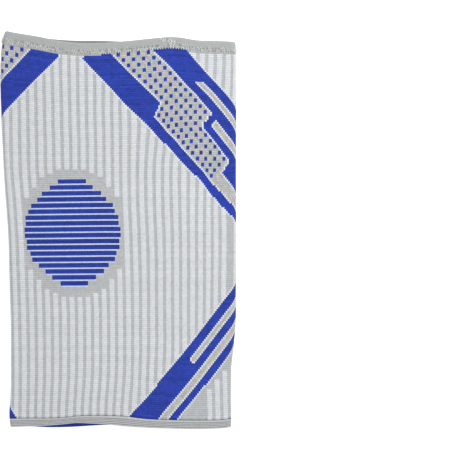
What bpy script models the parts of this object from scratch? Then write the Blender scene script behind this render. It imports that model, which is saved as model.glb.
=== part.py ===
"""Knee compression sleeve: a seamless knitted tube between two welts, lying flat on its under layer.

+Y points to the thigh end, +X to the right of the upper layer and +Z up from the table.
The origin is at the middle of the sleeve's box, on the table. All lengths are in metres.
"""

import math
from collections import namedtuple

import bmesh
import bpy
import numpy as np

# The sleeve as it lies
LENGTH = 0.275
THIGH_WIDTH = 0.162
CALF_WIDTH = 0.152
LAID_HEIGHT = 0.0135
FOLD_RADIUS = 0.0042
THIGH_DIP = 0.0076
CALF_RISE = 0.0045
MOUTH_LIFT = 0.0015
MOUTH_REACH = 0.098

# The fabric
KNIT_WALL = 0.0019
RIB_RELIEF = 0.0006
THIGH_WELT_HEIGHT = 0.0058
CALF_WELT_HEIGHT = 0.0066
WELT_WALL = 0.0026
SEAM_GAP = 0.0003

# The knit: wales run the length of the sleeve, and each rib is a group of them
RIBS = 56
WALES_PER_RIB = 5
VALLEY_MIDDLE = 1
RIB_START = 2
RIB_END = 5
WALE_DRIFT = 1.3

# The smooth oval over the kneecap, on the upper layer
KNEECAP_WALE = 41
KNEECAP_DOWN = 0.508
KNEECAP_WIDTH = 0.072
KNEECAP_LENGTH = 0.082
KNEECAP_BLEND = 0.006

# How finely the faces are cut
KNIT_ROWS = 20
LINING_ROWS = 8
LINING_COLUMNS = 112
WELT_COLUMNS = 96
SECTION_STEPS = 48

# The side folds: how far down the length, and how much of the taper each side has taken by there
SideFold = namedtuple("SideFold", "down left right")
SIDE_FOLDS = (
    SideFold(0.00, 0.31, 0.15),
    SideFold(0.03, 0.08, 0.03),
    SideFold(0.06, 0.00, 0.00),
    SideFold(0.21, 0.03, 0.00),
    SideFold(0.30, 0.14, 0.00),
    SideFold(0.39, 0.28, 0.00),
    SideFold(0.50, 0.50, 0.00),
    SideFold(0.65, 0.62, 0.00),
    SideFold(0.74, 0.69, 0.02),
    SideFold(0.79, 0.69, 0.15),
    SideFold(0.845, 0.69, 0.33),
    SideFold(0.89, 0.69, 0.28),
    SideFold(0.93, 0.66, 0.33),
    SideFold(0.965, 0.58, 0.35),
    SideFold(1.00, 0.66, 0.50),
)

# The open ends: the share of the width from the left, and the share of the dip or rise in each layer
Mouth = namedtuple("Mouth", "across upper under")
THIGH_MOUTH = (
    Mouth(0.00, 0.00, 0.00),
    Mouth(0.05, 0.20, 0.22),
    Mouth(0.15, 0.55, 0.55),
    Mouth(0.23, 0.82, 0.75),
    Mouth(0.30, 0.96, 0.84),
    Mouth(0.42, 1.00, 0.86),
    Mouth(0.535, 0.93, 0.92),
    Mouth(0.64, 0.74, 0.80),
    Mouth(0.74, 0.62, 0.74),
    Mouth(0.84, 0.90, 0.94),
    Mouth(0.93, 0.93, 0.96),
    Mouth(1.00, 1.00, 1.00),
)
CALF_MOUTH = (
    Mouth(0.00, 0.28, 0.28),
    Mouth(0.10, 0.43, 0.28),
    Mouth(0.18, 0.60, 0.16),
    Mouth(0.24, 0.78, 0.18),
    Mouth(0.30, 1.00, 0.26),
    Mouth(0.37, 0.92, 0.42),
    Mouth(0.455, 0.74, 0.54),
    Mouth(0.52, 0.52, 0.56),
    Mouth(0.61, 0.20, 0.35),
    Mouth(0.73, 0.00, 0.15),
    Mouth(0.86, 0.05, 0.20),
    Mouth(0.95, 0.12, 0.25),
    Mouth(1.00, 0.34, 0.34),
)

# A welt cut along the sleeve: shares of its wall, from the outside in, and of its height, from the hem
WeltPoint = namedtuple("WeltPoint", "depth height")
WELT_PROFILE = (
    WeltPoint(0.08, 1.00),
    WeltPoint(0.00, 0.60),
    WeltPoint(0.04, 0.14),
    WeltPoint(0.50, 0.00),
    WeltPoint(0.96, 0.14),
    WeltPoint(0.92, 1.00),
)

WALES = RIBS * WALES_PER_RIB
RIB_WALL = KNIT_WALL + RIB_RELIEF


def read(table, key, name, where):
    """Read a column of a table along a smooth curve through its rows."""
    keys = np.array([getattr(row, key) for row in table])
    values = np.array([getattr(row, name) for row in table])
    slopes = np.gradient(values, keys)
    index = np.clip(np.searchsorted(keys, where) - 1, 0, len(keys) - 2)
    step = keys[index + 1] - keys[index]
    t = np.clip((where - keys[index]) / step, 0, 1)
    start = values[index] * (1 + 2 * t) * (1 - t) ** 2 + slopes[index] * step * t * (1 - t) ** 2
    end = values[index + 1] * t ** 2 * (3 - 2 * t) - slopes[index + 1] * step * t ** 2 * (1 - t)
    return start + end


def sides(down):
    """Give the x of the left and right folds at a share of the length."""
    taper = THIGH_WIDTH - CALF_WIDTH
    left = -THIGH_WIDTH / 2 + taper * read(SIDE_FOLDS, "down", "left", down)
    right = THIGH_WIDTH / 2 - taper * read(SIDE_FOLDS, "down", "right", down)
    return float(left), float(right)


def mouth_fade(distance, welt):
    """Fade a mouth's waves evenly over the knit, from full in the welt to none at the reach."""
    return np.clip((MOUTH_REACH - distance) / (MOUTH_REACH - welt), 0, 1)


def section(down):
    """Cut across the sleeve: a loop from the left fold over the upper layer and back underneath."""
    left, right = sides(down)
    quarter = np.linspace(0, math.pi / 2, SECTION_STEPS)
    run = np.linspace(left + FOLD_RADIUS, right - FOLD_RADIUS, 4 * SECTION_STEPS)[1:-1]
    across = (run - run[0]) / (run[-1] - run[0])
    crown = (1 - (2 * across - 1) ** 4) ** 2
    arch = np.sin(math.pi * across) ** 2
    lift = MOUTH_LIFT * arch * (
        mouth_fade(down * LENGTH, THIGH_WELT_HEIGHT) + mouth_fade((1 - down) * LENGTH, CALF_WELT_HEIGHT)
    )
    top = 2 * FOLD_RADIUS + (LAID_HEIGHT - 2 * FOLD_RADIUS) * crown + lift
    x = np.concatenate((
        left + FOLD_RADIUS - FOLD_RADIUS * np.cos(quarter),
        run,
        right - FOLD_RADIUS + FOLD_RADIUS * np.sin(quarter),
        right - FOLD_RADIUS + FOLD_RADIUS * np.cos(quarter[1:]),
        run[::-1],
        left + FOLD_RADIUS - FOLD_RADIUS * np.sin(quarter[:-1]),
    ))
    z = np.concatenate((
        FOLD_RADIUS + FOLD_RADIUS * np.sin(quarter),
        top,
        FOLD_RADIUS + FOLD_RADIUS * np.cos(quarter),
        FOLD_RADIUS - FOLD_RADIUS * np.sin(quarter[1:]),
        np.zeros(len(run)),
        FOLD_RADIUS - FOLD_RADIUS * np.cos(quarter[:-1]),
    ))
    return x, z


def ring(around, down, depth, hem=None):
    """Place one row of points around the sleeve.

    around holds shares of the loop from the left fold, depth how far under the outer face they lie.
    """
    x, z = section(down)
    x_loop = np.append(x, x[0])
    z_loop = np.append(z, z[0])
    travel = np.append(0, np.cumsum(np.hypot(np.diff(x_loop), np.diff(z_loop))))
    where = (np.asarray(around) % 1.0) * travel[-1]
    step = travel[-1] / len(x)
    tangent_x = np.interp(where + step, travel, x_loop, period=travel[-1])
    tangent_x = tangent_x - np.interp(where - step, travel, x_loop, period=travel[-1])
    tangent_z = np.interp(where + step, travel, z_loop, period=travel[-1])
    tangent_z = tangent_z - np.interp(where - step, travel, z_loop, period=travel[-1])
    size = np.hypot(tangent_x, tangent_z)
    out_x, out_z = -tangent_z / size, tangent_x / size
    px = np.interp(where, travel, x_loop)
    pz = np.interp(where, travel, z_loop)

    left, right = sides(down)
    across = np.clip((px - left) / (right - left), 0, 1)
    upper = np.clip(pz / (2 * FOLD_RADIUS), 0, 1)
    upper = upper * upper * (3 - 2 * upper)
    dip = read(THIGH_MOUTH, "across", "upper", across) * upper
    dip = dip + read(THIGH_MOUTH, "across", "under", across) * (1 - upper)
    rise = read(CALF_MOUTH, "across", "upper", across) * upper
    rise = rise + read(CALF_MOUTH, "across", "under", across) * (1 - upper)
    py = LENGTH * (0.5 - down)
    py = py - THIGH_DIP * dip * mouth_fade(down * LENGTH, THIGH_WELT_HEIGHT)
    py = py + CALF_RISE * rise * mouth_fade((1 - down) * LENGTH, CALF_WELT_HEIGHT)
    return np.column_stack((px - out_x * depth, py, pz - out_z * depth))


def kneecap_smoothness(wales, down):
    """Give 1 on the oval over the kneecap, where the ribs stop, and 0 on the ribs around it."""
    wale_width = (THIGH_WIDTH + CALF_WIDTH) / WALES
    sideways = (wales - KNEECAP_WALE) * wale_width / (KNEECAP_WIDTH / 2)
    lengthways = (down - KNEECAP_DOWN) * LENGTH / (KNEECAP_LENGTH / 2)
    outside = (np.hypot(sideways, lengthways) - 1) * KNEECAP_LENGTH / 2
    return np.clip(1 - outside / KNEECAP_BLEND, 0, 1)


def add_ring(mesh, points):
    return [mesh.verts.new(point) for point in points]


def skin(mesh, rows):
    """Join neighbouring rings of equal length with faces."""
    for row, following in zip(rows, rows[1:]):
        count = len(row)
        for i in range(count):
            j = (i + 1) % count
            mesh.faces.new((row[i], row[j], following[j], following[i]))


def zip_rim(mesh, outer, inner):
    """Close the rim between two rings of different lengths, walking both around together."""
    i = j = 0
    while i < len(outer) or j < len(inner):
        here_out, here_in = outer[i % len(outer)], inner[j % len(inner)]
        if (i + 1) / len(outer) <= (j + 1) / len(inner):
            i += 1
            mesh.faces.new((here_out, outer[i % len(outer)], here_in))
        else:
            j += 1
            mesh.faces.new((here_out, inner[j % len(inner)], here_in))


def fabric(name, colour, roughness):
    material = bpy.data.materials.new(name)
    material.use_nodes = True
    shader = material.node_tree.nodes["Principled BSDF"]
    shader.inputs["Base Color"].default_value = (*colour, 1.0)
    shader.inputs["Roughness"].default_value = roughness
    shader.inputs["Metallic"].default_value = 0.0
    return material


def finish(mesh, name, material):
    """Turn a bmesh into a closed object of the sleeve."""
    bmesh.ops.triangulate(mesh, faces=mesh.faces[:], quad_method="FIXED")
    bmesh.ops.recalc_face_normals(mesh, faces=mesh.faces[:])
    data = bpy.data.meshes.new(name)
    mesh.to_mesh(data)
    mesh.free()
    data.materials.append(material)
    data.shade_smooth()
    data.set_sharp_from_angle(angle=math.radians(40))
    piece = bpy.data.objects.new(name, data)
    bpy.context.scene.collection.objects.link(piece)
    return piece


def make_knit_tube():
    """The knitted body: ribs outside, a plain lining face inside, and both ends open."""
    first = (THIGH_WELT_HEIGHT + SEAM_GAP) / LENGTH
    last = 1 - (CALF_WELT_HEIGHT + SEAM_GAP) / LENGTH
    marks = [
        rib * WALES_PER_RIB + offset
        for rib in range(RIBS)
        for offset in (VALLEY_MIDDLE, RIB_START, RIB_END)
    ]
    wales = np.array(marks)
    in_valley = (wales % WALES_PER_RIB == VALLEY_MIDDLE)
    mesh = bmesh.new()

    outer_rows = []
    for down in np.linspace(first, last, KNIT_ROWS):
        drift = WALE_DRIFT * (down - 0.25)
        relief = RIB_RELIEF * (1 - kneecap_smoothness(wales, down))
        depth = np.where(in_valley, relief, 0.0)
        outer_rows.append(add_ring(mesh, ring((wales + drift) / WALES, down, depth)))

    lining = (np.arange(LINING_COLUMNS) + 0.5) / LINING_COLUMNS
    inner_rows = []
    for down in np.linspace(first, last, LINING_ROWS):
        inner_rows.append(add_ring(mesh, ring(lining, down, RIB_WALL)))

    skin(mesh, outer_rows)
    skin(mesh, inner_rows)
    zip_rim(mesh, outer_rows[0], inner_rows[0])
    zip_rim(mesh, outer_rows[-1], inner_rows[-1])
    return finish(mesh, "knit_tube", fabric("knit", (0.50, 0.53, 0.60), 0.9))


def make_welt(name, height, at_thigh):
    """A welt: a band folded double at the hem, closed all round."""
    around = (np.arange(WELT_COLUMNS) + 0.5) / WELT_COLUMNS
    mesh = bmesh.new()
    rows = []
    for point in WELT_PROFILE:
        distance = point.height * height / LENGTH
        down = distance if at_thigh else 1 - distance
        rows.append(add_ring(mesh, ring(around, down, point.depth * WELT_WALL)))
    skin(mesh, rows + rows[:1])
    return finish(mesh, name, fabric(name, (0.43, 0.46, 0.47), 0.85))


def centre_on_table(pieces):
    """Hang the pieces on one empty and move it so that their box is centred over the origin."""
    corners = np.array([vertex.co for piece in pieces for vertex in piece.data.vertices])
    middle = (corners.min(axis=0) + corners.max(axis=0)) / 2
    sleeve = bpy.data.objects.new("sleeve", None)
    bpy.context.scene.collection.objects.link(sleeve)
    sleeve.location = (-middle[0], -middle[1], -corners[:, 2].min())
    for piece in pieces:
        piece.parent = sleeve


for leftover in list(bpy.data.objects):
    bpy.data.objects.remove(leftover, do_unlink=True)

centre_on_table((
    make_knit_tube(),
    make_welt("thigh_welt", THIGH_WELT_HEIGHT, at_thigh=True),
    make_welt("calf_welt", CALF_WELT_HEIGHT, at_thigh=False),
))
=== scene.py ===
"""Knee compression sleeve, laid flat: a circular-knit tube with a welt at each end."""

import math

import bpy
import numpy as np
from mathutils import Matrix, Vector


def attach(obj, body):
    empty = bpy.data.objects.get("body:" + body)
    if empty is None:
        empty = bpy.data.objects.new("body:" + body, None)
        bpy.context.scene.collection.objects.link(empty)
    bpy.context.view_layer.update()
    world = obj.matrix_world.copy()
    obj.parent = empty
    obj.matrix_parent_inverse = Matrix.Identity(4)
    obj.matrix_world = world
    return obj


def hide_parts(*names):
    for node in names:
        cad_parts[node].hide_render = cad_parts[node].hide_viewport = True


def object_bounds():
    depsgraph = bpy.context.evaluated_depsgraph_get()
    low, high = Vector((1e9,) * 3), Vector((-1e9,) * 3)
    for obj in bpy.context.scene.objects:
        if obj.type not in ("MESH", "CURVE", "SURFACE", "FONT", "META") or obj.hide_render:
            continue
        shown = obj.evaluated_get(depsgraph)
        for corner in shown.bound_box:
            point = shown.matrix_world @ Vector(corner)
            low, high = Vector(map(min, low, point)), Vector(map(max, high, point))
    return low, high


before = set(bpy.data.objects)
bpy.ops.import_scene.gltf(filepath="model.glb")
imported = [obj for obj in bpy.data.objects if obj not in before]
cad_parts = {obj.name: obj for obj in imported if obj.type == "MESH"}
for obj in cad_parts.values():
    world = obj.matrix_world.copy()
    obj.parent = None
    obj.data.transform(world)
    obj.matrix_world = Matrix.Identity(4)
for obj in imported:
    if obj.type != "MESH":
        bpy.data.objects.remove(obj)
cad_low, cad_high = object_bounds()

# The camera hangs straight over the table and looks down on the laid sleeve, which lies in the left half
# of a square picture. A long lens keeps the sleeve's sides as parallel as they look in the photograph.
LENGTH = 0.275
LENGTH_PIXELS = 397.2
PIXEL = LENGTH / LENGTH_PIXELS
PICTURE_PIXELS = 470
SLEEVE_MIDDLE_PIXEL = (118.2, 229.6)
LENS = 200
SENSOR = 36
VIEW_END = 20


def put_in_scene(name, data):
    """Put a camera, a lamp or a mesh in the scene under its own name."""
    item = bpy.data.objects.new(name, data)
    bpy.context.scene.collection.objects.link(item)
    return item


aim_x = (PICTURE_PIXELS / 2 - SLEEVE_MIDDLE_PIXEL[0]) * PIXEL
aim_y = (SLEEVE_MIDDLE_PIXEL[1] - PICTURE_PIXELS / 2) * PIXEL
camera = put_in_scene("camera", bpy.data.cameras.new("camera"))
camera.data.lens = LENS
camera.data.sensor_width = SENSOR
camera.data.clip_end = VIEW_END
camera.location = (aim_x, aim_y, PICTURE_PIXELS * PIXEL * LENS / SENSOR)
bpy.context.scene.camera = camera
bpy.context.scene.view_settings.view_transform = "Standard"

# The table is a seamless white sheet under soft, nearly shadowless light: a bright white room and two
# large lamps, the nearer one over the sleeve's upper right.
TABLE_SIZE = 6.0
TABLE_WHITE = (0.93, 0.93, 0.93, 1)
TABLE_ROUGHNESS = 0.9
TABLE_GLOW = 0.5
LAMPS = {
    "name": ("key_lamp", "fill_lamp"),
    "place": ((0.45, 0.35, 0.75), (-1.2, -0.5, 1.4)),
    "size": (0.7, 1.2),
    "power": (5.3, 5),
}
ROOM_BRIGHTNESS = 0.73

half = TABLE_SIZE / 2
table_corners = [(-half, -half, 0), (half, -half, 0), (half, half, 0), (-half, half, 0)]
table_mesh = bpy.data.meshes.new("table")
table_mesh.from_pydata(table_corners, [], [(0, 1, 2, 3)])
table_material = bpy.data.materials.new("white_sheet")
table_material.use_nodes = True
table_shader = table_material.node_tree.nodes["Principled BSDF"]
table_shader.inputs["Base Color"].default_value = TABLE_WHITE
table_shader.inputs["Roughness"].default_value = TABLE_ROUGHNESS
table_shader.inputs["Emission Color"].default_value = (1, 1, 1, 1)
table_shader.inputs["Emission Strength"].default_value = TABLE_GLOW
table_mesh.materials.append(table_material)
table = put_in_scene("table", table_mesh)

for name, place, size, power in zip(*LAMPS.values()):
    lamp = put_in_scene(name, bpy.data.lights.new(name, "AREA"))
    lamp.data.energy = power
    lamp.data.size = size
    lamp.location = place
    lamp.rotation_euler = lamp.location.to_track_quat("Z", "Y").to_euler()
room = bpy.data.worlds.new("white_room")
room.use_nodes = True
room.node_tree.nodes["Background"].inputs["Color"].default_value = (1, 1, 1, 1)
room.node_tree.nodes["Background"].inputs["Strength"].default_value = ROOM_BRIGHTNESS
bpy.context.scene.world = room

# The knitted body is one seamless tube from a circular machine, 290 wales round and 190 courses long,
# knitted of elastic yarn with 58 ribs. It lies on its under layer, folded at both sides.
THIGH_WIDTH = 0.162
CALF_WIDTH = 0.152
LAID_HEIGHT = 0.0135
FOLD_RADIUS = 0.0042
THIGH_DIP = 0.0076
CALF_RISE = 0.0045
MOUTH_LIFT = 0.0015
MOUTH_REACH = 0.098
THIGH_WELT_HEIGHT = 0.0058
CALF_WELT_HEIGHT = 0.0066
SEAM_GAP = 0.00005
KNIT_WALL = 0.0024
WALES = 290
COURSES = 190
SECTION_STEPS = 48
KNIT_FIRST = (THIGH_WELT_HEIGHT + SEAM_GAP) / LENGTH
KNIT_LAST = 1 - (CALF_WELT_HEIGHT + SEAM_GAP) / LENGTH
COURSE_LENGTH = (KNIT_LAST - KNIT_FIRST) * LENGTH / COURSES

# The side folds: share of the length down, and the share of the taper that each side has taken
SIDE_FOLDS = {
    "down": (0, .03, .06, .21, .30, .39, .50, .65, .74, .79, .845, .89, .93, .965, 1),
    "left": (.31, .08, 0, .03, .14, .28, .50, .62, .69, .69, .69, .69, .66, .58, .66),
    "right": (-.02, -.08, -.09, -.09, -.08, -.08, -.09, -.07, -.05, .07, .20, .23, .24, .23, .27),
}
# The open ends: share of the width from the left, and the shares of the dip and rise in each layer; the
# calf welt's upper edge, at its seam, rises less than its hem, which curls up a little
THIGH_MOUTH = {
    "across": (0, .05, .15, .23, .30, .42, .535, .64, .74, .84, .93, 1),
    "upper": (0, .20, .57, .93, 1.11, 1.15, .99, .76, .62, .90, .93, 1),
    "under": (0, .22, .55, .75, .84, .86, .92, .80, .74, .94, .96, 1),
}
CALF_MOUTH = {
    "across": (0, .10, .18, .24, .30, .37, .455, .52, .61, .73, .86, .95, 1),
    "upper": (.28, .43, .60, .78, 1, .92, .74, .52, .32, .15, .05, .10, .24),
    "seam": (.11, .20, .24, .32, .56, .68, .66, .57, .20, 0, -.10, -.08, .08),
    "under": (.28, .28, .16, .18, .26, .42, .54, .56, .35, .15, .20, .25, .24),
}
# Seven ribs of the upper layer: where each starts, in millimetres right of the middle, and how far it then
# bows to the right, in tenths of a millimetre, by course, at the wale of its rib
RIB_STARTS = {3.5: -78, 38.5: -37.2, 73.5: 4.3, 88.5: 21.4, 103.5: 39.9, 118.5: 58.3, 133.5: 76.4}
RIB_BOWS = {
    "course": (0, 8, 20, 29, 41, 48, 62, 84, 97, 112, 127, 138, 153, 168, 186),
    3.5: (0, -2, -2, 0, 2, 3, 7, 32, 44, 53, 60, 64, 68, 70, 68),
    38.5: (0, 1, 4, 7, 9, 13, 15, 26, 34, 42, 49, 55, 56, 56, 42),
    73.5: (0, 1, 1, -2, 1, 2, 2, 7, 15, 21, 27, 28, 30, 28, 10),
    88.5: (0, 6, 20, 24, 30, 21, 7, 8, 16, 22, 23, 24, 24, 17, 14),
    103.5: (0, 2, 3, 9, 10, 13, -4, -2, 3, 5, 5, 6, 7, 3, 5),
    118.5: (0, 0, -7, -9, -9, -4, -3, -11, -13, -12, -12, -14, -13, -10, -1),
    133.5: (0, -2, -8, -12, -18, -22, -28, -35, -31, -32, -36, -35, -32, -26, -19),
}
# How much lower than straight each course lies, in tenths of a millimetre, at nine wales round the front
COURSE_SAG = {
    "wale": (0, 60, 76, 88, 97, 106, 115, 124, 140),
    0: (0, 0, 0, 0, 0, 0, 0, 0, 0),
    2: (8, 8, 11, 13, 11, 10, 8, 8, 8),
    12: (14, 9, 13, 16, 11, 9, 7, 7, 7),
    20: (10, 8, 14, 20, 11, 6, -2, -2, 6),
    26: (6, 9, 16, 20, 14, -1, -14, -12, 6),
    35: (5, 10, 17, 25, 16, 0, -10, -13, 0),
    44: (4, 9, 18, 26, 25, 7, -8, -6, 4),
    53: (3, 7, 13, 18, 18, 16, -2, -5, 3),
    62: (7, 3, 3, 6, 7, 8, 6, 9, 3),
    72: (8, 0, 0, 2, 2, 2, 2, 2, 2),
    124: (3, -3, -3, -3, -3, -3, -3, -3, -3),
    140: (-4, -4, -4, -4, -4, -4, -4, -4, -4),
    187: (-7, -7, -7, -7, -7, -7, -7, -7, -7),
    190: (0, 0, 0, 0, 0, 0, 0, 0, 0),
}
# The upper layer is nearer the lens than the table, so the rib lines, read off the picture, are drawn in
UPPER_SPREAD = 1.0062


def read(table, key, name, where):
    """Read a column of a table along a smooth curve through its rows."""
    keys = np.array(table[key], float)
    values = np.array(table[name], float)
    slopes = np.gradient(values, keys)
    index = np.clip(np.searchsorted(keys, where) - 1, 0, len(keys) - 2)
    step = keys[index + 1] - keys[index]
    t = np.clip((where - keys[index]) / step, 0, 1)
    start = values[index] * (1 + 2 * t) * (1 - t) ** 2 + slopes[index] * step * t * (1 - t) ** 2
    end = values[index + 1] * t ** 2 * (3 - 2 * t) - slopes[index + 1] * step * t ** 2 * (1 - t)
    return start + end


def sides(down):
    """Give the x of the left and right folds at a share of the length."""
    taper = THIGH_WIDTH - CALF_WIDTH
    left = -THIGH_WIDTH / 2 + taper * read(SIDE_FOLDS, "down", "left", down)
    right = THIGH_WIDTH / 2 - taper * read(SIDE_FOLDS, "down", "right", down)
    return float(left), float(right)


def mouth_fade(distance, welt):
    """Fade a mouth's curve from its welt inward, to nothing at the mouth's reach."""
    return np.clip((MOUTH_REACH - distance) / (MOUTH_REACH - welt), 0, 1)


def section(down):
    """Cut across the laid sleeve: a loop from the left fold over the upper layer and back underneath."""
    left, right = sides(down)
    quarter = np.linspace(0, math.pi / 2, SECTION_STEPS)
    run = np.linspace(left + FOLD_RADIUS, right - FOLD_RADIUS, 4 * SECTION_STEPS)[1:-1]
    across = (run - run[0]) / (run[-1] - run[0])
    crown = (1 - (2 * across - 1) ** 4) ** 2
    arch = np.sin(math.pi * across) ** 2
    near = mouth_fade(down * LENGTH, THIGH_WELT_HEIGHT) + mouth_fade((1 - down) * LENGTH, CALF_WELT_HEIGHT)
    top = 2 * FOLD_RADIUS + (LAID_HEIGHT - 2 * FOLD_RADIUS) * crown + MOUTH_LIFT * arch * near
    x = np.concatenate((
        left + FOLD_RADIUS - FOLD_RADIUS * np.cos(quarter),
        run,
        right - FOLD_RADIUS + FOLD_RADIUS * np.sin(quarter),
        right - FOLD_RADIUS + FOLD_RADIUS * np.cos(quarter[1:]),
        run[::-1],
        left + FOLD_RADIUS - FOLD_RADIUS * np.sin(quarter[:-1]),
    ))
    z = np.concatenate((
        FOLD_RADIUS + FOLD_RADIUS * np.sin(quarter),
        top,
        FOLD_RADIUS + FOLD_RADIUS * np.cos(quarter),
        FOLD_RADIUS - FOLD_RADIUS * np.sin(quarter[1:]),
        np.zeros(len(run)),
        FOLD_RADIUS - FOLD_RADIUS * np.cos(quarter[:-1]),
    ))
    return x, z


def course_down(course):
    """Turn courses into shares of the sleeve's length."""
    return KNIT_FIRST + (KNIT_LAST - KNIT_FIRST) * course / COURSES


def share_around(wale, course):
    """Turn wales into shares of the loop: by the ribs' lines on the front, and evenly round the back."""
    x, z = section(course_down(course))
    travel = np.append(0, np.cumsum(np.hypot(np.diff(np.append(x, x[0])), np.diff(np.append(z, z[0])))))
    upper = np.argmax(x) + 1
    ribs = list(RIB_STARTS)
    seen = [0.001 * RIB_STARTS[rib] + 0.0001 * read(RIB_BOWS, "course", rib, course) for rib in ribs]
    lines = aim_x + (np.array(seen) - aim_x) / UPPER_SPREAD
    shares = np.interp(lines, x[:upper], travel[:upper] / travel[-1])
    turns, wale = np.divmod(np.asarray(wale, float) - ribs[0], WALES)
    return turns + np.interp(wale + ribs[0], [*ribs, ribs[0] + WALES], [*shares, shares[0] + 1])


def sag(wale, course):
    """Give how far each wale's stitch lies below its course's straight line, in metres."""
    courses = [row for row in COURSE_SAG if row != "wale"]
    by_wale = [np.interp(course, courses, column) for column in zip(*(COURSE_SAG[row] for row in courses))]
    return 0.0001 * np.interp(wale, COURSE_SAG["wale"], by_wale, period=WALES)


def on_sleeve(around, down, depth, slip=0.0):
    """Place one row of points round the laid sleeve, a depth under its outer face.

    around holds shares of the loop from the left fold, and slip moves points down the sleeve, in metres.
    """
    x, z = section(down)
    x_loop = np.append(x, x[0])
    z_loop = np.append(z, z[0])
    travel = np.append(0, np.cumsum(np.hypot(np.diff(x_loop), np.diff(z_loop))))
    where = (np.asarray(around) % 1.0) * travel[-1]
    step = travel[-1] / len(x)
    tangent_x = np.interp(where + step, travel, x_loop, period=travel[-1])
    tangent_x = tangent_x - np.interp(where - step, travel, x_loop, period=travel[-1])
    tangent_z = np.interp(where + step, travel, z_loop, period=travel[-1])
    tangent_z = tangent_z - np.interp(where - step, travel, z_loop, period=travel[-1])
    size = np.hypot(tangent_x, tangent_z)
    out_x, out_z = -tangent_z / size, tangent_x / size
    px = np.interp(where, travel, x_loop)
    pz = np.interp(where, travel, z_loop)
    left, right = sides(down)
    across = np.clip((px - left) / (right - left), 0, 1)
    upper = np.clip(pz / (2 * FOLD_RADIUS), 0, 1)
    upper = upper * upper * (3 - 2 * upper)
    dip = read(THIGH_MOUTH, "across", "upper", across) * upper
    dip = dip + read(THIGH_MOUTH, "across", "under", across) * (1 - upper)
    past_hem = min((1 - down) * LENGTH / CALF_WELT_HEIGHT, 1)
    rise = read(CALF_MOUTH, "across", "upper", across) * (1 - past_hem)
    rise = (rise + read(CALF_MOUTH, "across", "seam", across) * past_hem) * upper
    rise = rise + read(CALF_MOUTH, "across", "under", across) * (1 - upper)
    py = LENGTH * (0.5 - down) - slip
    py = py - THIGH_DIP * dip * mouth_fade(down * LENGTH, THIGH_WELT_HEIGHT)
    py = py + CALF_RISE * rise * mouth_fade((1 - down) * LENGTH, CALF_WELT_HEIGHT)
    return np.column_stack((px - out_x * depth + middle_x, py + middle_y, pz - out_z * depth))


middle_x = (cad_low[0] + cad_high[0]) / 2
middle_y = (cad_low[1] + cad_high[1]) / 2

# Each stitch shows one of four yarns: white on the rib wales, grey in the valleys, blue in the bands and
# the oval over the kneecap, and a greige melange between them. Both sides mirror at the knee's middle.
KNEE_WALE = 42
WALES_PER_RIB = 5
RIB_FROM = 2
RIB_WHITE_WALES = 3
WHITE, GREY, BLUE, GREIGE, LINING, OUTLINE, KNEE_LINE, KNEE_BLUE = range(8)
# The first courses under the thigh welt are grey: the white ribs start two courses down, and the blue after
# a number of courses that changes at these wales
RIBS_TOP = 2
PATTERN_TOPS = {"wale": (0, 35, 50, 60, 290), "course": (2, 3, 2, 1)}

# Bands run down and away from the knee, a wale for each course; edges are wales aside less courses
INNER_BAND = (4, 23)
INNER_BAND_BELOW = 12
INNER_BAND_DRIFTS = {"near": (50, 68, 79, 84, 88), "far": (73, 76, 82, 86)}
OUTER_BAND = (48, 67)
FIRST_STEP = 35
SECOND_STEP = 24
# The bands' notches lean toward the knee: wales for each course, and wales aside where the line starts
NOTCHES = {"inner": (0.625, 68.4), "first": (0.857, 113.0), "second": (0.66, 133.5)}
OUTER_SLOT = (55, 60)
OUTER_SLOT_TOP = 18
INNER_SLOT = (41, 47)
INNER_SLOT_NOTCH = 124
# The same bands again after they have passed each other at the back, on the calf's side
CROSSED_BAND = (51, 68)
CROSSED_SLOT = (57, 62)
CROSSED_SLOT_END = -91
CROSSED_GAP = (45, 51)
CROSSED_STRIP = (40, 45)
CROSSED_LEFT_SHIFT = 4
CROSSED_NARROWS_AT = 173
# Under the crossed strip the corner is plain grey, down to the course where each rib starts again
PLAIN_CORNER = {"wale": (123, 128, 133, 143), "ribs_from": (175, 170, 166, 0)}
PLAIN_FROM_WALE = 100
# By the right fold one rib is grey for a stretch, with a thin white line next to it
FOLD_RIB = 137
FOLD_LINE = 140
FOLD_LINE_WALES = 2
FOLD_COURSES = (88, 130)
# The dots between the bands are two wales by two courses, each row half a pitch along from the last
DOT_SIZE = 2
DOT_PITCH = 6
DOT_COURSE_PITCH = 3
DOTS_FROM = 27
DOTS_END = 153
DOTS_BY_BAND = 19
DOTS_BY_BAND_FROM = 34

# The oval over the kneecap has blue stripes of two courses with a light course under each, from wale to
# wale, and a plain grey ring round it that steps from rib to rib
KNEECAP_TOP = 70
STRIPE_COURSES = 3
STRIPES = {
    "from": (33, 28, 23, 20, 16, 14, 12, 12, 11, 11, 12, 12, 14, 15, 19, 23, 27, 32),
    "to": (50, 54, 59, 62, 66, 67, 69, 69, 70, 70, 69, 69, 67, 66, 62, 59, 54, 49),
}
KNEECAP_WALE = 41
RING = {"ribs_aside": (9, 14, 19, 24, 28), "top": (65, 67, 69, 74, 79), "end": (129, 127, 125, 120, 115)}


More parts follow.
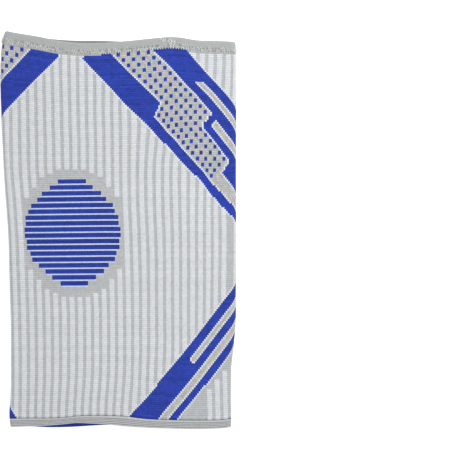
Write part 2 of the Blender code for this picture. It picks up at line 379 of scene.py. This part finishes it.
def yarn_chart():
    """Chart the yarn of every stitch, courses down and wales round from the left fold."""
    course, wale = np.mgrid[0:COURSES, 0:WALES]
    turned = (wale - KNEE_WALE + WALES // 2) % WALES - WALES // 2
    right = turned >= 0
    aside = np.where(right, turned, -turned - 1)
    fall = aside - course
    reach = aside + course
    crossed = WALES - aside - course + CROSSED_LEFT_SHIFT * ~right
    above = {name: aside + lean * course < start for name, (lean, start) in NOTCHES.items()}

    rib = (wale - RIB_FROM) % WALES_PER_RIB < RIB_WHITE_WALES
    chart = np.where(rib & (course >= RIBS_TOP), WHITE, GREY)
    wide = course < CROSSED_NARROWS_AT
    plain = (wale >= PLAIN_FROM_WALE) & (wale < PLAIN_CORNER["wale"][-1])
    plain &= crossed < CROSSED_STRIP[0] - wide
    for first, start in zip(PLAIN_CORNER["wale"], PLAIN_CORNER["ribs_from"]):
        plain &= ~((np.abs(wale - first) < RIB_WHITE_WALES / 2) & (course >= start))
    fold = (course >= FOLD_COURSES[0]) & (course < FOLD_COURSES[1])
    chart[plain | (fold & (wale >= FOLD_RIB) & (wale < FOLD_RIB + RIB_WHITE_WALES))] = GREY
    chart[fold & (wale >= FOLD_LINE) & (wale < FOLD_LINE + FOLD_LINE_WALES)] = WHITE

    near = sum((course >= start).astype(int) for start in INNER_BAND_DRIFTS["near"])
    far = sum((course >= start).astype(int) for start in INNER_BAND_DRIFTS["far"])
    inner_far = np.where(above["inner"], INNER_BAND[1] - ~right, INNER_BAND_BELOW + far)
    inner = (fall >= INNER_BAND[0] + near) & (fall < inner_far)
    outer_near = np.where(above["first"], OUTER_BAND[0], FIRST_STEP)
    outer_near = np.where(above["second"], outer_near, SECOND_STEP)
    outer = (fall >= outer_near) & (fall < OUTER_BAND[1])
    between = (fall >= inner_far) & (fall < outer_near)
    slots = (fall >= OUTER_SLOT[0]) & (fall < OUTER_SLOT[1]) & (course >= OUTER_SLOT_TOP)
    slots |= (fall >= INNER_SLOT[0]) & (fall < INNER_SLOT[1]) & (reach >= INNER_SLOT_NOTCH)
    again = (crossed >= CROSSED_BAND[0]) & (crossed < CROSSED_BAND[1] + wide)
    again_slots = (crossed >= CROSSED_SLOT[0]) & (crossed < CROSSED_SLOT[1]) & (fall > CROSSED_SLOT_END)
    again_slots |= (crossed >= CROSSED_GAP[0]) & (crossed < CROSSED_GAP[1])
    strip = (crossed >= CROSSED_STRIP[0] - wide) & (crossed < CROSSED_STRIP[1])

    dot_course = course - 1 - ~right
    dot_wale = aside - DOTS_FROM - ~right - ((fall < DOTS_BY_BAND) & (course >= DOTS_BY_BAND_FROM))
    dot_wale = dot_wale - dot_course // DOT_COURSE_PITCH * DOT_PITCH // 2
    dots = (dot_course >= 0) & (dot_course % DOT_COURSE_PITCH < DOT_SIZE)
    dots &= (dot_wale % DOT_PITCH < DOT_SIZE) & (reach < DOTS_END)

    blue = inner | outer | again | strip
    ground = between | slots | again_slots
    chart[ground] = GREIGE
    chart[between & dots] = BLUE
    chart[blue & ~slots & ~again_slots] = BLUE
    top = np.array(PATTERN_TOPS["course"])[np.searchsorted(PATTERN_TOPS["wale"], wale, side="right") - 1]
    chart[(course < top) & (chart == BLUE)] = GREY

    rib_middle = (wale - RIB_FROM) // WALES_PER_RIB * WALES_PER_RIB + RIB_FROM + RIB_WHITE_WALES / 2
    beside_knee = np.abs(rib_middle - KNEECAP_WALE)
    ring = np.zeros(wale.shape, bool)
    for limit, first, last in zip(RING["ribs_aside"], RING["top"], RING["end"]):
        reached = beside_knee < limit
        ring |= reached & (course >= first) & (course < last) & ~ring
    chart[ring & (course >= RING["top"][0])] = GREY
    for number, (first, last) in enumerate(zip(STRIPES["from"], STRIPES["to"])):
        start = KNEECAP_TOP + number * STRIPE_COURSES
        here = (wale >= first) & (wale < last)
        chart[here & (course >= start) & (course < start + STRIPE_COURSES - 1)] = KNEE_BLUE
        chart[here & (course == start + STRIPE_COURSES - 1)] = KNEE_LINE
    return chart


def single_dots(chart):
    """Find the dots: the blue stitches with no run of three blue ones to either side."""
    blue = chart == BLUE
    wide = np.zeros(chart.shape, bool)
    for way in (-1, 1):
        wide |= np.logical_and.reduce([np.roll(blue, way * wales, axis=1) for wales in (1, 2, 3)])
    return blue & ~wide


def outline_bands(chart):
    """Put one white stitch along each slanting edge of the blue bands."""
    band = (chart == BLUE) & ~single_dots(chart)
    beside = np.roll(band, 1, axis=1) | np.roll(band, -1, axis=1)
    beside[:PATTERN_TOPS["course"][0]] = False
    chart[beside & (chart != BLUE)] = OUTLINE


chart = yarn_chart()
outline_bands(chart)

# The yarns: textured nylon over elastic, dyed white, grey and blue, with greige where two are knitted
# together. Each stitch shows two legs, and no two stitches or courses are quite alike. The outline and the
# two knee yarns are the white and the blue again, drawn tighter beside a band or in the oval's stripes.
FINISHES = ("roughness", "stitch", "course", "streak", "tint", "crease_shade")
YARN_TABLE = {
    "yarn": ("white", "grey", "blue", "greige", "lining", "outline", "knee_line", "knee_blue"),
    "red": (0.692, 0.515, 0.021, 0.485, 0.36, 0.72, 0.56, 0.019),
    "green": (0.717, 0.533, 0.050, 0.492, 0.39, 0.74, 0.60, 0.046),
    "blue": (0.747, 0.540, 0.395, 0.470, 0.47, 0.77, 0.80, 0.315),
    "roughness": (0.80, 0.85, 0.75, 0.85, 0.85, 0.80, 0.80, 0.75),
    "stitch": (0.10, 0.12, 0.30, 0.14, 0.20, 0.10, 0.14, 0.30),
    "course": (0.06, 0.06, 0.24, 0.06, 0.10, 0.04, 0.05, 0.24),
    "streak": (0.04, 0.06, 0.50, 0.05, 0.20, 0.02, 0.05, 0.50),
    "tint": (0.05, 0.05, 0.02, 0.14, 0.05, 0.02, 0.04, 0.02),
    # Painted shade: how much each yarn's colour darkens in the creases between its legs and its courses
    "crease_shade": (0.32, 0.42, 0.40, 0.34, 0.30, 0.20, 0.12, 0.40),
}
LEG_ROUNDNESS = 0.35
LOOP_ROUNDNESS = 0.8
FIBRE_SCALE = 9.0
FIBRE_HEIGHT = 0.35
STREAK_SQUEEZE = {"X": 0.16, "Y": 3.7}
CREASE_DULLNESS = 0.12
YARN_SHINE = {"Specular IOR Level": 0.25, "Sheen Weight": 0.05, "Sheen Roughness": 0.5}
RELIEF_STRENGTH = 0.6
YARN_RELIEF = 0.00025


def new_group(name, inputs, outputs):
    """Start a shader node group with named sockets."""
    group = bpy.data.node_groups.new(name, "ShaderNodeTree")
    for label, kind in inputs:
        group.interface.new_socket(label, in_out="INPUT", socket_type=kind)
    for label, kind in outputs:
        group.interface.new_socket(label, in_out="OUTPUT", socket_type=kind)
    return group, group.nodes.new("NodeGroupInput"), group.nodes.new("NodeGroupOutput")


def maths(tree, operation, *terms):
    """Add a Math node; each term is a number or another node's output."""
    node = tree.nodes.new("ShaderNodeMath")
    node.operation = operation
    for index, term in enumerate(terms):
        if isinstance(term, (int, float)):
            node.inputs[index].default_value = term
        else:
            tree.links.new(term, node.inputs[index])
    return node.outputs[0]


def make_stitch_relief():
    """Raise two rounded legs on each stitch, with fibre on them, from the map of wales and courses."""
    group, _, out = new_group(
        "stitch_relief", [], [("Height", "NodeSocketFloat"), ("Crease", "NodeSocketFloat")]
    )
    place = group.nodes.new("ShaderNodeUVMap")
    place.uv_map = "stitches"
    axes = group.nodes.new("ShaderNodeSeparateXYZ")
    group.links.new(place.outputs["UV"], axes.inputs[0])
    across = maths(group, "FRACT", axes.outputs["X"])
    along = maths(group, "FRACT", axes.outputs["Y"])
    from_middle = maths(group, "ABSOLUTE", maths(group, "SUBTRACT", maths(group, "MULTIPLY", across, 2), 1))
    from_leg = maths(group, "MULTIPLY", maths(group, "SUBTRACT", from_middle, 0.5), 2)
    leg = maths(group, "SUBTRACT", 1, maths(group, "MULTIPLY", from_leg, from_leg))
    arc = maths(group, "SINE", maths(group, "MULTIPLY", along, math.pi))
    leg = maths(group, "POWER", leg, LEG_ROUNDNESS)
    arc = maths(group, "POWER", arc, LOOP_ROUNDNESS)
    bulge = maths(group, "MULTIPLY", leg, arc)
    fibre = group.nodes.new("ShaderNodeTexNoise")
    fibre.inputs["Scale"].default_value = FIBRE_SCALE
    fibre.inputs["Detail"].default_value = 2.0
    group.links.new(place.outputs["UV"], fibre.inputs["Vector"])
    height = maths(group, "ADD", bulge, maths(group, "MULTIPLY", fibre.outputs[0], FIBRE_HEIGHT))
    group.links.new(height, out.inputs["Height"])
    group.links.new(maths(group, "SUBTRACT", 1, bulge), out.inputs["Crease"])
    return group


def make_yarn_tone():
    """Vary a yarn's colour from stitch to stitch and course to course, and darken the creases with painted
    shade.
    """
    floats = [(label, "NodeSocketFloat") for label in (
        "Stitch Variation", "Course Variation", "Streaks", "Tint", "Crease", "Crease Shade", "Dullness",
    )]
    group, given, out = new_group(
        "yarn_tone", [("Colour", "NodeSocketColor"), *floats],
        [("Colour", "NodeSocketColor"), ("Roughness", "NodeSocketFloat")],
    )
    place = group.nodes.new("ShaderNodeUVMap")
    place.uv_map = "stitches"
    axes = group.nodes.new("ShaderNodeSeparateXYZ")
    group.links.new(place.outputs["UV"], axes.inputs[0])
    wale = maths(group, "FLOOR", axes.outputs["X"])
    course = maths(group, "FLOOR", axes.outputs["Y"])
    stitch = group.nodes.new("ShaderNodeCombineXYZ")
    group.links.new(wale, stitch.inputs["X"])
    group.links.new(course, stitch.inputs["Y"])
    stitch_noise = group.nodes.new("ShaderNodeTexWhiteNoise")
    group.links.new(stitch.outputs[0], stitch_noise.inputs["Vector"])
    course_noise = group.nodes.new("ShaderNodeTexWhiteNoise")
    course_noise.noise_dimensions = "1D"
    group.links.new(course, course_noise.inputs["W"])
    stretched = group.nodes.new("ShaderNodeCombineXYZ")
    group.links.new(maths(group, "MULTIPLY", axes.outputs["X"], STREAK_SQUEEZE["X"]), stretched.inputs["X"])
    group.links.new(maths(group, "MULTIPLY", course, STREAK_SQUEEZE["Y"]), stretched.inputs["Y"])
    streak = group.nodes.new("ShaderNodeTexNoise")
    streak.inputs["Scale"].default_value = 1.0
    streak.inputs["Detail"].default_value = 1.0
    group.links.new(stretched.outputs[0], streak.inputs["Vector"])

    def swing(noise, amount):
        """Swing a noise about zero by the amount that the yarn asks for."""
        return maths(group, "MULTIPLY", maths(group, "SUBTRACT", noise, 0.5), given.outputs[amount])

    level = maths(group, "ADD", swing(stitch_noise.outputs["Value"], "Stitch Variation"), 1)
    level = maths(group, "ADD", level, swing(course_noise.outputs["Value"], "Course Variation"))
    level = maths(group, "ADD", level, swing(streak.outputs[0], "Streaks"))
    # Painted shade: the colour darkens where the stitch relief has its creases
    crease_shade = maths(group, "MULTIPLY", given.outputs["Crease"], given.outputs["Crease Shade"])
    level = maths(group, "MULTIPLY", level, maths(group, "SUBTRACT", 1, crease_shade))
    tinted = group.nodes.new("ShaderNodeMix")
    tinted.data_type = "RGBA"
    tinted.blend_type = "OVERLAY"
    group.links.new(given.outputs["Tint"], tinted.inputs["Factor"])
    group.links.new(given.outputs["Colour"], tinted.inputs["A"])
    group.links.new(stitch_noise.outputs["Color"], tinted.inputs["B"])
    scaled = group.nodes.new("ShaderNodeVectorMath")
    scaled.operation = "SCALE"
    group.links.new(tinted.outputs["Result"], scaled.inputs[0])
    group.links.new(level, scaled.inputs["Scale"])
    group.links.new(scaled.outputs[0], out.inputs["Colour"])
    creased = maths(group, "MULTIPLY", given.outputs["Crease"], CREASE_DULLNESS)
    group.links.new(maths(group, "ADD", given.outputs["Dullness"], creased), out.inputs["Roughness"])
    return group


stitch_relief = make_stitch_relief()
yarn_tone = make_yarn_tone()


def knit_material(name, colour, finish, relief):
    """Make a knitted yarn from its own colour and finish and the shared relief and tone."""
    material = bpy.data.materials.new(name)
    material.use_nodes = True
    nodes, links = material.node_tree.nodes, material.node_tree.links
    shader = nodes["Principled BSDF"]
    for socket, amount in YARN_SHINE.items():
        shader.inputs[socket].default_value = amount
    loops = nodes.new("ShaderNodeGroup")
    loops.node_tree = stitch_relief
    tone = nodes.new("ShaderNodeGroup")
    tone.node_tree = yarn_tone
    tone.inputs["Colour"].default_value = (*colour, 1)
    tone.inputs["Stitch Variation"].default_value = finish["stitch"]
    tone.inputs["Course Variation"].default_value = finish["course"]
    tone.inputs["Streaks"].default_value = finish["streak"]
    tone.inputs["Tint"].default_value = finish["tint"]
    tone.inputs["Crease Shade"].default_value = finish["crease_shade"]
    tone.inputs["Dullness"].default_value = finish["roughness"]
    links.new(loops.outputs["Crease"], tone.inputs["Crease"])
    bump = nodes.new("ShaderNodeBump")
    bump.inputs["Strength"].default_value = RELIEF_STRENGTH
    bump.inputs["Distance"].default_value = relief
    links.new(loops.outputs["Height"], bump.inputs["Height"])
    links.new(tone.outputs["Colour"], shader.inputs["Base Color"])
    links.new(tone.outputs["Roughness"], shader.inputs["Roughness"])
    links.new(bump.outputs["Normal"], shader.inputs["Normal"])
    return material


yarn_materials = []
for number, yarn in enumerate(YARN_TABLE["yarn"]):
    colour = [YARN_TABLE[channel][number] for channel in ("red", "green", "blue")]
    finish = {kind: YARN_TABLE[kind][number] for kind in FINISHES}
    yarn_materials.append(knit_material(yarn + "_yarn", colour, finish, YARN_RELIEF))

# The tube is knitted in one go; it is made here as an upper and an under piece that meet round the folds.
# White rib stitches stand proud, the valleys lie deeper, and floats of yarn cover the inner face.
STITCH_DEPTHS = (0.0, 0.00050, 0.00020, 0.00025, 0.0, 0.0, 0.0, 0.00020)
LOOP_DIP = 0.18
KNEE_LINE_SQUEEZE = 0.15
WALE_ROUNDNESS = 0.00012
UPPER_FROM = -9
UPPER_TO = 151
LINING_COURSES = 5
BAKE_MARGIN = 0.01
BAKE_OUTER = (0.12, 0.99)
BAKE_LINING = (0.01, 0.10)


def quads_over(ids):
    """Cover a grid of points with quads, in the order corner, below, diagonal, right."""
    return np.stack((ids[:-1, :-1], ids[1:, :-1], ids[1:, 1:], ids[:-1, 1:]), -1).reshape(-1, 4)


def add_map(mesh, name, u, v):
    """Give every face corner its place on a named map."""
    layer = mesh.uv_layers.new(name=name)
    layer.data.foreach_set("uv", np.stack((u, v), -1).astype(np.float32).ravel())


def bake_across(share):
    """Lay shares of a map's width between its margins."""
    return BAKE_MARGIN + (1 - 2 * BAKE_MARGIN) * share


def knit_piece(name, first_wale, last_wale):
    """Knit one part of the tube as a closed slab: stitches outside, a plain lining face inside."""
    columns = np.arange(2 * first_wale, 2 * last_wale + 1) / 2
    at_middle = np.arange(len(columns)) % 2 == 1
    deep = np.array(STITCH_DEPTHS)[chart]
    outer = []
    for row in range(COURSES + 1):
        above, below = max(row - 1, 0), min(row, COURSES - 1)
        here = np.floor(columns).astype(int) % WALES
        before = (np.ceil(columns).astype(int) - 1) % WALES
        depth = (deep[above, here] + deep[below, here] + deep[above, before] + deep[below, before]) / 4
        depth = depth + np.where(at_middle, 0, 2 * WALE_ROUNDNESS)
        slip = np.where(at_middle & (0 < row < COURSES), LOOP_DIP, 0.0)
        slip += KNEE_LINE_SQUEEZE * (chart[below, here] == KNEE_LINE)
        slip -= KNEE_LINE_SQUEEZE * (chart[above, here] == KNEE_LINE)
        slip = slip * COURSE_LENGTH + sag(columns, row)
        outer.append(on_sleeve(share_around(columns, row), course_down(row), depth, slip))
    outer = np.array(outer)
    rows, cols = outer.shape[:2]

    lining_rows = np.linspace(0, COURSES, COURSES // LINING_COURSES + 1)
    lining_columns = np.linspace(first_wale, last_wale, (last_wale - first_wale) // 2 + 1)
    inner = np.array([
        on_sleeve(share_around(lining_columns, row), course_down(row), KNIT_WALL, sag(lining_columns, row))
        for row in lining_rows
    ])
    in_rows, in_cols = inner.shape[:2]
    outer_id = np.arange(rows * cols).reshape(rows, cols)
    inner_id = rows * cols + np.arange(in_rows * in_cols).reshape(in_rows, in_cols)

    i, j = np.mgrid[0:rows - 1, 0:cols - 1]
    kinds = chart[i, (first_wale + j // 2) % WALES].reshape(-1).tolist()
    faces = quads_over(outer_id).tolist() + quads_over(inner_id)[:, ::-1].tolist()
    kinds += [LINING] * (len(faces) - len(kinds))

    def close(outer_edge, inner_edge, flip):
        """Join an edge of the outer face to the matching edge of the lining."""
        m = k = 0
        outer_steps, inner_steps = len(outer_edge) - 1, len(inner_edge) - 1
        while m < outer_steps or k < inner_steps:
            if k == inner_steps or (m < outer_steps and (m + 1) / outer_steps <= (k + 1) / inner_steps):
                face = [outer_edge[m], outer_edge[m + 1], inner_edge[k]]
                m += 1
            else:
                face = [outer_edge[m], inner_edge[k + 1], inner_edge[k]]
                k += 1
            faces.append(face[::-1] if flip else face)
            kinds.append(LINING)

    close(outer_id[0].tolist(), inner_id[0].tolist(), False)
    close(outer_id[-1].tolist(), inner_id[-1].tolist(), True)
    close(outer_id[:, 0].tolist(), inner_id[:, 0].tolist(), True)
    close(outer_id[:, -1].tolist(), inner_id[:, -1].tolist(), False)

    mesh = bpy.data.meshes.new(name)
    mesh.from_pydata(np.vstack((outer.reshape(-1, 3), inner.reshape(-1, 3))).tolist(), [], faces)
    for material in yarn_materials:
        mesh.materials.append(material)
    mesh.polygons.foreach_set("material_index", np.array(kinds, np.int32))

    wales = np.concatenate((np.tile(columns, rows), np.tile(lining_columns, in_rows)))
    courses = np.concatenate((np.repeat(np.arange(rows), cols), np.repeat(lining_rows, in_cols)))
    is_outer = np.arange(len(wales)) < rows * cols
    corner = np.empty(len(mesh.loops), np.int32)
    mesh.loops.foreach_get("vertex_index", corner)
    add_map(mesh, "stitches", wales[corner], courses[corner])
    low_edge = np.where(is_outer, BAKE_OUTER[0], BAKE_LINING[0])
    span = np.where(is_outer, BAKE_OUTER[1] - BAKE_OUTER[0], BAKE_LINING[1] - BAKE_LINING[0])
    bake_u = bake_across((wales - first_wale) / (last_wale - first_wale))
    bake_v = low_edge + span * (1 - courses / COURSES)
    add_map(mesh, "OFBake", bake_u[corner], bake_v[corner])
    mesh.shade_smooth()
    mesh.update()
    return put_in_scene(name, mesh)


knit_upper = knit_piece("knit_upper", UPPER_FROM, UPPER_TO)
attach(knit_upper, "root")
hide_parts("knit_tube")
knit_under = knit_piece("knit_under", UPPER_TO, UPPER_FROM + WALES)
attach(knit_under, "root")
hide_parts("knit_tube")

# The thigh welt is a plain grey band of finer, denser elastic knit. It is folded double at the hem and
# sewn to the tube all round by the overlock seam, and its inner face is painted darker, as shade between the
# layers.
WELT_WALL = 0.0026
THIGH_WELT_PROFILE = {
    "depth": (.10, .03, 0, 0, .02, .10, .28, .50, .72, .90, .98, 1, 1, .97),
    "height": (1, .86, .64, .40, .21, .12, .07, .06, .07, .12, .21, .43, .76, 1),
}
WELT_COURSES = 9
WELT_FINENESS = 1.5
WELT_INNER_DEPTH = 0.28
WELT_YARN = (0.375, 0.39, 0.39)
# Painted shade: the welt's inner face, seen as a sliver where the under layer's welt peeks above the upper,
# is a darker grey
WELT_INNER_SHADE_YARN = (0.28, 0.27, 0.265)
# The welt's crease entry, as for the yarns, is painted shade in the stitches' creases
WELT_FINISH = {
    "roughness": 0.85, "stitch": 0.10, "course": 0.06, "streak": 0.05, "tint": 0.04, "crease_shade": 0.14,
}
THIGH_WELT_RELIEF = 0.0001
WELT_COLUMNS_PER_WALE = 2
WELT_BAKE_STRIPS = 6
WELT_BAKE_STRIP_MARGIN = 0.03


def welt_piece(name, height, profile, at_thigh, courses):
    """Fold a band round one open end, from its cut profile."""
    around = np.arange(0, WALES, 1 / WELT_COLUMNS_PER_WALE)
    row_course = 0 if at_thigh else COURSES
    shares = share_around(around, row_course)
    rows = []
    for depth, up in zip(profile["depth"], profile["height"]):
        distance = up * height / LENGTH
        rows.append(on_sleeve(shares, distance if at_thigh else 1 - distance, depth * WELT_WALL))
    points = np.array(rows)
    count, cols = points.shape[:2]
    ids = np.arange(count * cols).reshape(count, cols)
    ids = np.vstack((ids, ids[:1]))
    ids = np.hstack((ids, ids[:, :1]))
    quads = quads_over(ids)
    corner_rows, corner_columns = (quads_over(grid) for grid in np.mgrid[0:count + 1, 0:cols + 1])
    if at_thigh:
        quads, corner_rows, corner_columns = (grid[:, ::-1] for grid in (quads, corner_rows, corner_columns))
    mesh = bpy.data.meshes.new(name)
    mesh.from_pydata(points.reshape(-1, 3).tolist(), [], quads.tolist())
    girth = np.append(0, np.cumsum(np.hypot(
        np.diff([*profile["depth"], profile["depth"][0]]) * WELT_WALL,
        np.diff([*profile["height"], profile["height"][0]]) * height,
    )))
    travel = girth[corner_rows]
    wales = corner_columns / WELT_COLUMNS_PER_WALE
    add_map(mesh, "stitches", wales * WELT_FINENESS, travel / height * courses)
    strip_columns = cols // WELT_BAKE_STRIPS + 1
    strip = np.minimum(corner_columns[:, :1] // strip_columns, WELT_BAKE_STRIPS - 1)
    bake_u = bake_across((corner_columns - strip * strip_columns) / strip_columns)
    in_strip = WELT_BAKE_STRIP_MARGIN + (1 - 2 * WELT_BAKE_STRIP_MARGIN) * travel / girth[-1]
    add_map(mesh, "OFBake", bake_u, (strip + in_strip) / WELT_BAKE_STRIPS)
    mesh.shade_smooth()
    return put_in_scene(name, mesh)


thigh_band = welt_piece("thigh_band", THIGH_WELT_HEIGHT, THIGH_WELT_PROFILE, True, WELT_COURSES)
for yarn, colour in (("welt_yarn", WELT_YARN), ("welt_inner_shade_yarn", WELT_INNER_SHADE_YARN)):
    thigh_band.data.materials.append(knit_material(yarn, colour, WELT_FINISH, THIGH_WELT_RELIEF))
# The rows of the welt's inner face take the darker grey, painted shade between the layers
shaded_inner_rows = np.array(THIGH_WELT_PROFILE["depth"]) >= WELT_INNER_DEPTH
thigh_band.data.polygons.foreach_set(
    "material_index", np.repeat(shaded_inner_rows, WALES * WELT_COLUMNS_PER_WALE).astype(np.int32)
)
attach(thigh_band, "root")
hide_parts("thigh_welt")

# The seam under the thigh welt: a zigzag of overlock stitches in pale thread, which holds the welt to
# the knitted body and covers the edge between them. Where it closes, its end climbs over the welt.
SEAM_ROWS = {"top": (0.0049, 0.0066), "bottom": (0.0069, 0.0086)}
SEAM_STITCHES = 200
SEAM_PITCH = WALES / SEAM_STITCHES
SEAM_THREAD_RADIUS = 0.00027
SEAM_SIDES = 5
SEAM_PATH = {"reach": (-0.5, -0.3, -0.15, 0.0), "depth": (0.0, -0.00025, -0.00025, 0.0)}
SEAM_UNEVENNESS = 0.1
SEAM_SEED = 7
SEAM_THREADS = {"seam_thread_pale": (0.66, 0.67, 0.66), "seam_thread_grey": (0.42, 0.43, 0.42)}
SEAM_GREY_SHARE = 0.3
# Under the sleeve its weight presses the threads flat
SEAM_LOWEST = -0.00012
SEAM_END = {
    "down": (0.0004, 0.0016, 0.0028, 0.0040),
    "wale": (95.0, 96.5, 98.0, 100.0),
    "stitches": (3, 4, 5, 4),
}
SEAM_END_LENGTH = 0.0016
THREAD_ROUGHNESS = 0.7
THREAD_SHINE = 0.3
THREAD_FIBRE_SCALE = 900
THREAD_TONES = {"position": (0.35, 0.65), "brightness": (0.75, 1.15)}


def seam_stitches(name):
    """Sew two rows of Vs over the seam, all round the sleeve, and the few rows of its end."""
    turn = np.linspace(0, 2 * math.pi, SEAM_SIDES, endpoint=False)[:, None, None, None]
    rng = np.random.default_rng(SEAM_SEED)
    wales = (np.arange(SEAM_STITCHES) + 0.5) * SEAM_PITCH
    rows = [(wales, top, bottom) for top, bottom in zip(SEAM_ROWS["top"], SEAM_ROWS["bottom"])]
    for down, wale, count in zip(SEAM_END["down"], SEAM_END["wale"], SEAM_END["stitches"]):
        rows.append((wale + SEAM_PITCH * np.arange(count), down, down + SEAM_END_LENGTH))
    reach = np.array(SEAM_PATH["reach"]) * SEAM_PITCH
    points, faces, kinds = [], [], []
    placed = 0
    for wales, top, bottom in rows:
        for side in (-1, 1):
            uneven = rng.normal(0, SEAM_UNEVENNESS, len(wales))
            path = np.array([
                on_sleeve(share_around(wales - side * step + uneven, 0), down / LENGTH, depth)
                for step, down, depth in zip(reach, np.linspace(top, bottom, len(reach)), SEAM_PATH["depth"])
            ])
            along = np.gradient(path, axis=0)
            along /= np.linalg.norm(along, axis=-1, keepdims=True)
            sideways = np.cross(along, (0, 0, 1))
            sideways /= np.maximum(np.linalg.norm(sideways, axis=-1, keepdims=True), 1e-9)
            up = np.cross(sideways, along)
            tube = path + SEAM_THREAD_RADIUS * (np.cos(turn) * sideways + np.sin(turn) * up)
            tube[..., 2] = np.maximum(tube[..., 2], SEAM_LOWEST)
            ids = placed + np.arange(tube[..., 0].size).reshape(tube.shape[:3])
            placed += ids.size
            points.append(tube.reshape(-1, 3))
            after = np.roll(ids, -1, axis=0)
            quads = np.stack((ids[:, :-1], after[:, :-1], after[:, 1:], ids[:, 1:]), -1)
            grey = rng.random(len(wales)) < SEAM_GREY_SHARE
            faces += quads.reshape(-1, 4).tolist()
            kinds += np.broadcast_to(grey, quads.shape[:-1]).reshape(-1).astype(int).tolist()
            faces += ids[:, 0].T.tolist() + ids[:, -1].T[:, ::-1].tolist()
            kinds += grey.astype(int).tolist() * 2
    mesh = bpy.data.meshes.new(name)
    mesh.from_pydata(np.vstack(points).tolist(), [], faces)
    mesh.polygons.foreach_set("material_index", np.array(kinds, np.int32))
    mesh.shade_smooth()
    return put_in_scene(name, mesh)


def thread_material(name, colour):
    """Make a sewing thread, lighter and darker in small random patches."""
    material = bpy.data.materials.new(name)
    material.use_nodes = True
    nodes, links = material.node_tree.nodes, material.node_tree.links
    shader = nodes["Principled BSDF"]
    shader.inputs["Roughness"].default_value = THREAD_ROUGHNESS
    shader.inputs["Specular IOR Level"].default_value = THREAD_SHINE
    place = nodes.new("ShaderNodeTexCoord")
    fibre = nodes.new("ShaderNodeTexNoise")
    fibre.inputs["Scale"].default_value = THREAD_FIBRE_SCALE
    ramp = nodes.new("ShaderNodeValToRGB")
    for stop, position, brightness in zip(ramp.color_ramp.elements, *THREAD_TONES.values()):
        stop.position = position
        stop.color = (*(brightness * channel for channel in colour), 1)
    links.new(place.outputs["Object"], fibre.inputs["Vector"])
    links.new(fibre.outputs[0], ramp.inputs[0])
    links.new(ramp.outputs[0], shader.inputs["Base Color"])
    return material


overlock = seam_stitches("overlock_seam")
for thread, colour in SEAM_THREADS.items():
    overlock.data.materials.append(thread_material(thread, colour))
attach(overlock, "root")

# The calf welt is knitted on at the other end in courses of grey, turned up inside and stitched down.
# Each course stands as a fine ridge round the leg, its groove painted darker as shade, and the turned-up
# inner side is of the blue yarn.
CALF_RIDGES = 5
RIDGE_STEPS = 4
RIDGE_DEPTH = 0.06
RIDGE_FACE_DEPTH = 0.02
RIDGES_END = 0.10
CALF_HEM_PROFILE = {
    "depth": (.12, .28, .50, .72, .90, .98, 1, 1),
    "height": (.04, .01, 0, .01, .04, .12, .50, 1),
}
HEM_FACES = 3
CALF_RELIEF = 0.00015
CALF_YARNS = {
    "calf_yarn_light": (0.49, 0.50, 0.49),
    # The dark grey is painted shade for the ridges' grooves
    "calf_groove_shade_yarn": (0.235, 0.245, 0.26),
    # The hem's grey is its own yarn a touch lighter, a painted highlight on its rounded front edge
    "hem_highlight_yarn": (0.50, 0.50, 0.50),
    "hem_inner_yarn": (0.021, 0.050, 0.395),
}
CALF_LIGHT, CALF_GROOVE_SHADE, HEM_HIGHLIGHT, HEM_INNER = range(4)
# The crease entry of this finish is painted shade in the stitches' creases
HEM_INNER_FINISH = {
    "roughness": 0.75, "stitch": 0.9, "course": 0.2, "streak": 0.4, "tint": 0.02, "crease_shade": 0.3,
}


def calf_profile():
    """Draw the cut of the calf welt: ridges outside, a round hem and a flat inside."""
    heights = np.linspace(1, RIDGES_END, CALF_RIDGES * RIDGE_STEPS + 1)
    waves = 0.5 - 0.5 * np.cos(np.linspace(0, CALF_RIDGES * 2 * math.pi, len(heights)))
    return {
        "depth": (*(RIDGE_FACE_DEPTH + RIDGE_DEPTH * waves), *CALF_HEM_PROFILE["depth"]),
        "height": (*heights, *CALF_HEM_PROFILE["height"]),
    }


profile = calf_profile()
calf_band = welt_piece("calf_band", CALF_WELT_HEIGHT, profile, False, CALF_RIDGES)
for yarn, colour in CALF_YARNS.items():
    finish = HEM_INNER_FINISH if yarn == "hem_inner_yarn" else WELT_FINISH
    calf_band.data.materials.append(knit_material(yarn, colour, finish, CALF_RELIEF))
# The two middle faces of each ridge's wave lie in its groove and take the dark grey, painted shade; the
# first groove is hidden at the seam
row = np.repeat(np.arange(len(profile["depth"])), WALES * WELT_COLUMNS_PER_WALE)
hem_row = CALF_RIDGES * RIDGE_STEPS
in_groove = (row % RIDGE_STEPS == 1) | (row % RIDGE_STEPS == 2)
kinds = np.where(in_groove & (row >= RIDGE_STEPS), CALF_GROOVE_SHADE, CALF_LIGHT)
# The hem's rounded front edge takes the lighter grey: its own yarn with a painted highlight
kinds[row >= hem_row] = HEM_HIGHLIGHT
kinds[row >= hem_row + HEM_FACES] = HEM_INNER
calf_band.data.polygons.foreach_set("material_index", kinds.astype(np.int32))
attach(calf_band, "root")
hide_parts("calf_welt")
